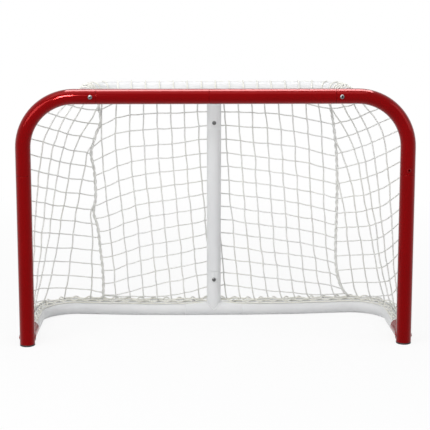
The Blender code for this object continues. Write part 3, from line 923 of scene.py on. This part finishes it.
def lay_cord(net, route, radius=cord_radius):
    """Adds one cord along a route of points."""
    route = np.asarray(route, float)
    route = route[np.diff(mileage(route), prepend=-1) > 1e-6]
    ahead = np.gradient(route, axis=0)
    ahead /= np.linalg.norm(ahead, axis=1, keepdims=True)
    side_way = np.cross(ahead[0], (0.31, 0.17, 0.93))
    frames = []
    for direction in ahead:
        side_way = side_way - side_way.dot(direction) * direction
        side_way /= np.linalg.norm(side_way)
        frames.append((side_way, np.cross(direction, side_way)))
    angles = 2 * pi * np.arange(cord_sides) / cord_sides
    ring = np.stack([np.cos(angles), np.sin(angles)], 1) @ np.array(frames)
    length = mileage(route) / cord_lay
    corner = net["count"] + np.arange(len(route) * cord_sides).reshape(-1, cord_sides)
    near, far = corner[:-1], corner[1:]
    quads = np.stack([near, np.roll(near, -1, 1), np.roll(far, -1, 1), far], 2)
    net["faces"] += quads.reshape(-1, 4).tolist()
    net["faces"] += [corner[0, ::-1].tolist(), corner[-1].tolist()]
    along = np.stack([length[:-1]] * 2 + [length[1:]] * 2, 1)[:, None]
    round_it = (np.arange(cord_sides)[:, None] + [0, 1, 1, 0]) / cord_sides
    net["marks"] += np.stack(np.broadcast_arrays(along, round_it), 3).reshape(-1, 2).tolist()
    net["marks"] += [(0.0, 0.0)] * (2 * cord_sides)
    net["points"].append((route[:, None] + radius * ring).reshape(-1, 3))
    net["count"] += len(route) * cord_sides


def knotted(net, name, material, *replaced):
    """The tangle as one finished piece."""
    mesh = bpy.data.meshes.new(name)
    points = np.concatenate(net["points"]) + [0, mouth_y, 0]
    mesh.from_pydata(points.tolist(), [], net["faces"])
    layer = mesh.uv_layers.new(name="lay")
    layer.data.foreach_set("uv", np.array(net["marks"], np.float32).ravel())
    mesh.shade_smooth()
    mesh.validate()
    mesh.materials.append(material)
    return dress(add_object(name, mesh), name, *replaced)


def twisted_cord(name, light, shade):
    """Laid cord: fibres with a slanting twist, painted shade in the grooves, and patches of soil on the
    crowns.
    """
    material, tree, shader, where = new_finish(name)
    here = where["Object"]
    lay = add_node(tree, "ShaderNodeSeparateXYZ", where["UV"]).outputs
    slant = maths(tree, "ADD", lay["X"], lay["Y"])
    wave = maths(tree, "SINE", maths(tree, "MULTIPLY", slant, cord_strands * 2 * pi))
    # Towards the grooves of the twist the colour turns to the shade colour: painted shade.
    crown = remap(tree, wave, 0.0, 1.0, -1.0, 0.4)
    soil = remap(tree, cloud(tree, here, 9.0, 3.0), 0.0, 1.0, 0.35, 0.75)
    soiled = 0.95 * light[0], 0.95 * light[1], 0.89 * light[2]
    crown_colour = blend_colours(tree, soil, light, soiled)
    fibres = bump(tree, cloud(tree, here, 3000.0), 0.00008, 0.5)
    wire(
        tree, shader, Base_Color=blend_colours(tree, crown, shade, crown_colour),
        Roughness=remap(tree, crown, 0.92, 0.78, 0.0, 1.0), Normal=bump(tree, wave, 0.00022, 0.8, fibres),
        Sheen_Weight=0.10, Specular_IOR_Level=0.15,
    )
    return material


net_cord = twisted_cord("laid_net_cord", (0.84, 0.84, 0.825), (0.68, 0.68, 0.66))
lacing_cord = twisted_cord("laid_lacing_cord", (0.92, 0.915, 0.87), (0.72, 0.71, 0.65))
print("cord of radius", cord_radius)

# %% [markdown]
# ## Knots
# Where two cords cross, one is tied round the other. At this scale the knot reads as a short
# slanting wrap, a little thicker than the cord. One wrap is a torus of a few dozen faces, squeezed
# to hug the crossing, and each crossing gets a copy of it.

# %% One knot, and a way to add it to a net
begin()
bpy.ops.mesh.primitive_torus_add(
    major_segments=8, minor_segments=5, major_radius=0.00165, minor_radius=0.0010
)
knot = edit_new()
bpy.ops.transform.resize(value=(1.15, 0.9, 1.25), center_override=(0, 0, 0))
bpy.ops.transform.rotate(value=radians(38), orient_axis="Y", center_override=(0, 0, 0))
bpy.ops.object.mode_set(mode="OBJECT")
knot_points = np.array([vertex.co[:] for vertex in knot.data.vertices])
knot_faces = [tuple(face.vertices) for face in knot.data.polygons]
bpy.data.objects.remove(knot)


def tie_knot(net, spot, up_cord, across_cord):
    """A knot at a spot, its wrap round the cord that runs up, leaning along the one across."""
    upward = up_cord / np.linalg.norm(up_cord)
    outward = np.cross(upward, across_cord)
    outward /= np.linalg.norm(outward)
    axes = np.stack([np.cross(outward, upward), outward, upward])
    first = net["count"]
    net["points"].append(knot_points @ axes + spot)
    for face in knot_faces:
        net["faces"].append(tuple(first + corner for corner in face))
        net["marks"] += [(0.2 * corner, 0.3) for corner in range(len(face))]
    net["count"] += len(knot_points)


print("knot faces:", len(knot_faces))

# %% [markdown]
# ## Knotting a panel
# A panel is a grid of knots in the patch's coordinates, and part of the grid hangs over the edge.
# A cord runs from knot to knot and stops where it meets the edge, on the rod or tube that holds
# it. Between two knots it sags by a millimetre and bows in or out.

# %% Cords from knot to knot
cell_steps = 5
row_radius = 0.0016
side_bow, cell_bow = 0.0012, 0.0016
sway = random.Random(11)


def wobble(size):
    return size * (2 * sway.random() - 1)


def meet_edge(inside, outside, limits):
    """Where the line from a knot inside the panel to one outside meets the panel's edge."""
    share = 1.0
    for axis in (0, 1):
        gap = outside[axis] - inside[axis]
        for limit in limits[axis]:
            if gap and (outside[axis] - limit) * (inside[axis] - limit) < 0:
                share = min(share, (limit - inside[axis]) / gap)
    return inside + share * (outside - inside)


def within(spot, limits):
    return all(low - 1e-9 <= value <= high + 1e-9 for value, (low, high) in zip(spot, limits))


def string_line(net, surface, spots, offsets, limits, radius=cord_radius):
    """Draws the parts of one line of knots that lie inside the panel."""
    run = []
    for first, second, push, next_push in zip(spots, spots[1:], offsets, offsets[1:]):
        inside = within(first, limits), within(second, limits)
        if not any(inside):
            continue
        start = first if inside[0] else meet_edge(second, first, limits)
        end = second if inside[1] else meet_edge(first, second, limits)
        share = np.linspace(0, 1, cell_steps + 1)[:, None]
        flat = start + (end - start) * share
        places = surface(flat[:, 0], flat[:, 1])
        swell = np.sin(pi * share)
        places = places + push * (1 - share) + next_push * share
        places = places + swell * np.array([wobble(side_bow), wobble(cell_bow), -abs(wobble(cell_bow))])
        run = places.tolist() if not run else run + places[1:].tolist()
        if not inside[1]:
            lay_cord(net, run, radius)
            run = []
    if run:
        lay_cord(net, run, radius)


unit = ((0.0, 1.0), (0.0, 1.0))


def string_panel(name, surface, grid, replaced, limits=unit, jitter=0.0016):
    """Knots a whole panel from a grid of places in the patch's coordinates, all but its outer lines."""
    net = tangle()
    columns, rows = grid.shape[:2]
    push = np.array([[[wobble(jitter) for _ in range(3)] for _ in range(rows)] for _ in range(columns)])
    push[:, 0] = push[:, -1] = push[0] = push[-1] = 0
    for i in range(1, columns - 1):
        string_line(net, surface, grid[i], push[i], limits)
    for j in range(1, rows - 1):
        string_line(net, surface, grid[:, j], push[:, j], limits, row_radius)
    knots = 0
    for i in range(1, columns - 1):
        for j in range(1, rows - 1):
            if within(grid[i, j], limits):
                spot = surface(*grid[i, j]) + push[i, j]
                upward = surface(*grid[i, j + 1]) - surface(*grid[i, j - 1])
                across = surface(*grid[i + 1, j]) - surface(*grid[i - 1, j])
                tie_knot(net, spot, upward, across)
                knots += 1
    piece = knotted(net, name, net_cord, replaced)
    print(name, "knots:", knots, "faces:", len(piece.data.polygons))
    return piece

# %% [markdown]
# ## The back panel
# Eighteen meshes lie between the side seams. The net is slack, so its rows fall away from the
# centre post towards the seams, further on the left, and the lowest ones bunch at the base. Its
# columns drift to the right on the way down. Both are simple curves of a knot's column and row, in
# shares of the panel.

# %% Swags, drifts and the seams
back_columns, back_rows = 18, 15
top_row, row_gap = 0.955, 0.0635
lowest_row, bunched_gap = 0.012, 0.004
swag = {"left": (0.115, 0.0, 0.0), "right": (0.062, 0.0040, -0.00028)}
fade = {"left": (1.0, 15.0), "right": (1.4, 5.0)}
lift = {"left": 0.026, "right": 0.016}
side_drift = (-0.012, 0.0022, 0.00015)
spread = (0.012, 0.0032, -0.00033)


def curve(values, row):
    return values[0] + values[1] * row + values[2] * row ** 2


def hump(v, height, width):
    return exp(-(((v - height) / width) ** 2))


def droop(column, row):
    """How far a knot hangs below an even grid: most at the seams, least at the centre post."""
    across = 2 * column / back_columns - 1
    half = "left" if across < 0 else "right"
    power = fade[half][0] + fade[half][1] / max(row, 2.5)
    slack = lift[half] * min(max(row, 0) / 3, 1)
    return curve(swag[half], row) * abs(across) ** power + slack * (1 - hump(across, 0, 0.25))


def drift(column, row):
    """How far a knot lies to the right of an even grid."""
    across = 2 * column / back_columns - 1
    return curve(side_drift, row) - curve(spread, row) * across


def row_height(column, row):
    """Where a row crosses a column, kept inside the panel."""
    v = top_row - row_gap * row - droop(column, row)
    return min(max(v, lowest_row + bunched_gap * (back_rows - row)), 0.99)


def seam_inset(side_name, v):
    """How far a seam is pulled inwards at a height, in metres, by the cords that are tied to it."""
    if side_name == "left":
        pulls = 0.007 * hump(v, 0.1, 0.15) + 0.012 * hump(v, 0.85, 0.05)
        return 0.024 + pulls - 0.009 * hump(v, 0.42, 0.05) - 0.010 * hump(v, 0.70, 0.06)
    return 0.024 * v ** 1.6 - 0.042 * exp(-v / 0.07)


def seam_u(side_name, v):
    """Where a seam lies across the back patch."""
    inward = seam_inset(side_name, v) / (2 * seam_x)
    return inward if side_name == "left" else 1 - inward


def seam_point(side_name, v):
    """Places on a seam for one height or for many."""
    return back_surface(np.vectorize(seam_u)(side_name, v), v)


print("left seam leaves the base at x = %.3f" % seam_point("left", 0.0)[0])

# %% Knotting the back
back_grid = np.zeros((back_columns + 1, back_rows + 2, 2))
for k in range(back_columns + 1):
    for r in range(-1, back_rows + 1):
        v = {-1: 1.0, back_rows: 0.0}.get(r, row_height(k, r))
        u = k / back_columns + drift(k, r)
        if k in (0, back_columns) and 0 <= r < back_rows:
            edge = "left" if k == 0 else "right"
            v = row_height(seam_u(edge, v) * back_columns, r)
            u = seam_u(edge, v)
        back_grid[k, back_rows - r] = (u, v)
string_panel("net_back_panel", back_surface, back_grid, "net_back", ((-0.2, 1.2), (0.0, 1.0)))

# %% [markdown]
# ## The side panels
# A side panel runs from the post to the seam. Its columns lean back more and more as they rise, and
# its rows climb towards the front, because the net is pulled up round the bend of the frame. The
# two sides aren't laced alike, so each has its own shape.

# %% Knotting the sides
side_shapes = {
    "left": SimpleNamespace(
        start=0.175, step=0.152, bunch=0.0, lean=0.33, lean_gain=0.045,
        top_row=0.678, row_step=0.0597, fall=0.043, spread=0.0073, bow=0.0,
    ),
    "right": SimpleNamespace(
        start=0.225, step=0.127, bunch=0.054, lean=0.25, lean_gain=0.09,
        top_row=0.7085, row_step=0.0575, fall=0.083, spread=0.0124, bow=1.0,
    ),
}
before_post = -0.05


def to_seam(side_name, surface):
    """A side patch, drawn in near its rear edge to meet the seam."""
    def at(u, v):
        pull = np.clip((np.asarray(u) - 0.65) / 0.35, 0, 1)[..., None] ** 2
        return surface(u, v) + pull * (seam_point(side_name, v) - surface(np.ones_like(u), v))
    return at


def side_knot(shape, column, row):
    """Where a column and a row of a side panel cross. Each bends the other, so it takes a few turns."""
    v = shape.top_row - row * shape.row_step
    for _ in range(4):
        u = shape.start + column * shape.step + shape.bunch * max(sin(pi * column / 3), 0)
        u += (shape.lean + shape.lean_gain * column) * max(v, 0) ** 3
        u = u if column >= 0 else before_post
        inside = min(max(u, 0), 1)
        back = u + shape.bow * min(max((row + 1) / 4, 0), 1) * inside * (1 - inside)
        v = shape.top_row - shape.fall * back - row * (shape.row_step + shape.spread * back)
    return u, v


for side_name, side in sides.items():
    facing = np.array([side, 1, 1])
    surface = to_seam(side_name, lambda u, v: side_surface(u, v) * facing)
    shape = side_shapes[side_name]
    columns, rows = range(-1, 9), range(13, -8, -1)
    grid = np.array([[side_knot(shape, column, row) for row in rows] for column in columns])
    string_panel(f"net_{side_name}_panel", surface, grid, f"net_{side_name}")

# %% The top panel, inside the top bar
top_columns, top_rows, top_sag = 18, 7, 0.010
first_top_row, top_row_gap = -0.09, 0.178
top_gap = tube_radius + 0.0026
inner_turn = shelf_bend_radius - top_gap
legs = (top_depth - shelf_bend_radius - net_front,)
rear_run = (2 * (shelf_half_width - shelf_bend_radius),)
moves = [legs, (inner_turn, -pi / 2), rear_run, (inner_turn, -pi / 2), legs]
outline = level(walk((-shelf_half_width + top_gap, net_front), pi / 2, moves), bar_height)
turn = 1 + ceil(pi / 2 / walk_step) // 2
flat_top = patch(outline[[0, -1]], outline[turn:-turn - 1], outline[:turn + 1], outline[:-turn - 2:-1])


def top_surface(u, v):
    sag = np.sin(pi * np.clip(u, 0, 1)) * np.sin(pi * np.clip(v, 0, 1))
    return flat_top(u, v) - np.asarray(sag)[..., None] * np.array([0, 0, top_sag])


top_grid = np.zeros((top_columns + 1, top_rows + 1, 2))
for k in range(top_columns + 1):
    for j in range(top_rows + 1):
        u = k / top_columns + drift(k, 0) * min(k, top_columns - k) / 9
        top_grid[k, j] = (u, first_top_row + top_row_gap * j)
string_panel("net_top_panel", top_surface, top_grid, "net_top")

# %% [markdown]
# ## Seams and lacing
# Where two panels meet, a pair of cords is whipped through both, and the seam zigzags between the
# knots that pull at it. Along the top bar the net hangs in a lashing: the cord takes one turn round
# the tube at each mesh and then runs along it to the next. The red tubes have a spiral lacing round
# the welded rods instead.

# %% Seams: two strands, twisted round each other
seam_turns = 15
strand_radius = 0.0025
strand_reach = 0.0019
for side_name in sides:
    net = tangle()
    v = np.linspace(0.0, 1.0, 181)
    middle = np.array([seam_point(side_name, value) for value in v])
    for phase in (0.0, pi):
        turn = 2 * pi * v * seam_turns + phase
        strand = middle + strand_reach * np.stack([np.cos(turn), np.sin(turn), np.zeros_like(turn)], 1)
        lay_cord(net, strand, strand_radius)
    knotted(net, f"net_seam_{side_name}_cords", net_cord, f"net_seam_{side_name}")
print("seam strands:", 2 * len(sides))

# %% Turns round a tube
mesh_size = 0.0368
look_ahead = 0.004
turn_lead = 0.004
turn_points = 14


def frames_along(route, reference=(0, 0, 1)):
    """Points along a route by length, with two directions square to it, and the route's length."""
    at = measured(route)
    length = mileage(route)[-1]
    reference = np.array(reference, float)

    def frame_at(distance):
        share = np.clip(np.asarray(distance) / length, 0, 1)
        ahead = at(np.clip(share + look_ahead, 0, 1)) - at(np.clip(share - look_ahead, 0, 1))
        ahead /= np.linalg.norm(ahead, axis=-1, keepdims=True)
        first = reference - (ahead @ reference)[..., None] * ahead
        first /= np.linalg.norm(first, axis=-1, keepdims=True)
        return at(share), first, np.cross(ahead, first)

    return frame_at, length


def moved(frame, along_first, along_second):
    """The points of a frame, moved along its two directions."""
    middle, first, second = frame
    return middle + np.reshape(along_first, (-1, 1)) * first + np.reshape(along_second, (-1, 1)) * second


def around(frame, reach, angles):
    """The points of a frame, moved out at an angle each."""
    return moved(frame, reach * np.cos(angles), reach * np.sin(angles))


def lashing(net, route, stops, rest):
    """One turn round the tube at each stop, and a slack run at the rest angle between them."""
    frame_at, length = frames_along(route)
    stations = [(0.0, rest)]
    for stop in stops:
        lead = turn_lead * (1 + wobble(0.5))
        for share in np.arange(21) / 20:
            stations.append((stop + lead * (share - 0.5), rest + 2 * pi * share))
    stations.append((length, rest))
    spaced = stations[:1]
    for (before, _), (after, angle) in zip(stations, stations[1:]):
        gap = after - before
        if gap > 0.01:
            for share in np.arange(1, 5) / 5:
                spaced.append((before + gap * share, rest + 0.16 * sin(pi * share) * wobble(1.0)))
        spaced.append((after, angle))
    distances, angles = np.array(spaced).T
    lay_cord(net, around(frame_at(distances), tube_radius + cord_radius, angles))


net = tangle()
lash_start = 0.03
legs = (top_depth - shelf_bend_radius - lash_start,)
bend = (shelf_bend_radius, -pi / 2)
moves = [legs, bend, rear_run, bend, legs]
shelf_axis = level(walk((-shelf_half_width, lash_start), pi / 2, moves), bar_height)
stops = np.arange(0.5 * mesh_size, mileage(shelf_axis)[-1] - 0.01, mesh_size) + 0.004
lashing(net, shelf_axis, stops, radians(-38))
knotted(net, "top_bar_lashing", lacing_cord)
print("turns round the top bar:", len(stops))

# %% Spirals round the rods


def spiral(net, route, pitch, reach, reference):
    """A spiral round a rod and the net's border cord, a little uneven in its pitch and its reach."""
    frame_at, length = frames_along(route, reference)
    distances = np.linspace(0, length, ceil(length / pitch * turn_points))
    angles = 2 * pi * distances / pitch + 0.5 * np.sin(distances / 0.11)
    lay_cord(net, around(frame_at(distances), reach * (1 + 0.12 * np.sin(distances / 0.023)), angles))


def rippled(route, size, wave, reference=(0, 0, 1)):
    """A border cord: the route with a gentle ripple."""
    frame_at, length = frames_along(route, reference)
    distances = np.linspace(0, length, ceil(length / 0.007))
    sideways = 0.6 * size * np.cos(distances / wave * 0.7)
    return moved(frame_at(distances), size * np.sin(distances / wave), sideways)


for side_name, side in sides.items():
    flip = np.array([side, 1, 1])
    net = tangle()
    post_rod = front_edge + [0, rod_y - net_front, 0]
    spiral(net, (post_rod + [0, 0.0016, 0]) * flip, 0.0335, 0.0056, rear)
    lay_cord(net, rippled((post_rod + [0, 0.0048, 0]) * flip, 0.0008, 0.012, rear))
    knotted(net, f"post_lacing_{side_name}", net_cord)
net = tangle()
bar_end = shelf_half_width - 0.02
bar_rod = np.array([[x, rod_y + 0.001, bar_height] for x in (-bar_end, bar_end)])
spiral(net, bar_rod, mesh_size, 0.0054, up)
lay_cord(net, rippled(bar_rod + [0, 0.0038, 0], 0.0008, 0.013))
knotted(net, "crossbar_lacing", net_cord)
print("laced: posts and crossbar")

# %% [markdown]
# ## The base lacing
# The lacing bunches on top of the base tubes, round the rods. It has five strands: two that run
# along with a ripple, one pressed against the tube, a zigzag that goes from mesh to mesh, and a
# loose spiral over them all. Each one is a wave about the line of the rods.

# %% Five strands along the base
tee_end = tee_half_length + base_run_in
half_base = level(base_route(base_outset, stub_reach + 0.004, tee_end), net_low)
back_part = back_bottom[np.abs(back_bottom[:, 0]) < tee_end]
base_line = np.concatenate([half_base * mirror, back_part, half_base[::-1]])
net = tangle()
lay_cord(net, rippled(base_line + [0, 0, 0.0006], 0.0013, 0.0125), 0.0021)
frame_at, length = frames_along(base_line)
coarse = np.linspace(0, length, ceil(length / 0.006))
inward = 0.0105 + 0.0022 * np.sin(coarse / 0.014) + 0.0012 * np.sin(coarse / 0.041)
lay_cord(net, moved(frame_at(coarse), -0.0022, inward), 0.0018)


def round_tube(reach, cosine, sine):
    """A strand at a distance from the tube's axis, at an angle from straight up, inwards."""
    height = reach * cosine - (net_low - base_height)
    return moved(frame_at(coarse), height, reach * sine + base_outset)


lay_cord(net, round_tube(0.0212 + 0.0003 * np.sin(coarse / 0.012), 0.80, 0.60), 0.0018)
zigzag = radians(23) + radians(13) * np.arcsin(np.sin(coarse * 2 * pi / mesh_size)) * 2 / pi
lay_cord(net, round_tube(0.0250, np.cos(zigzag), np.sin(zigzag)), 0.0014)
fine = np.linspace(0, length, ceil(length / 0.0026))
angles = fine * 2 * pi / mesh_size + 0.6 * np.sin(fine / 0.07)
heights, insets = -0.0006 + 0.0046 * np.sin(angles), -0.0052 + 0.0078 * np.cos(angles)
lay_cord(net, moved(frame_at(fine), heights, insets), 0.0016)
knotted(net, "base_lacing", lacing_cord)
print("base lacing length %.2f m" % length)

# %% The finished goal
begin()
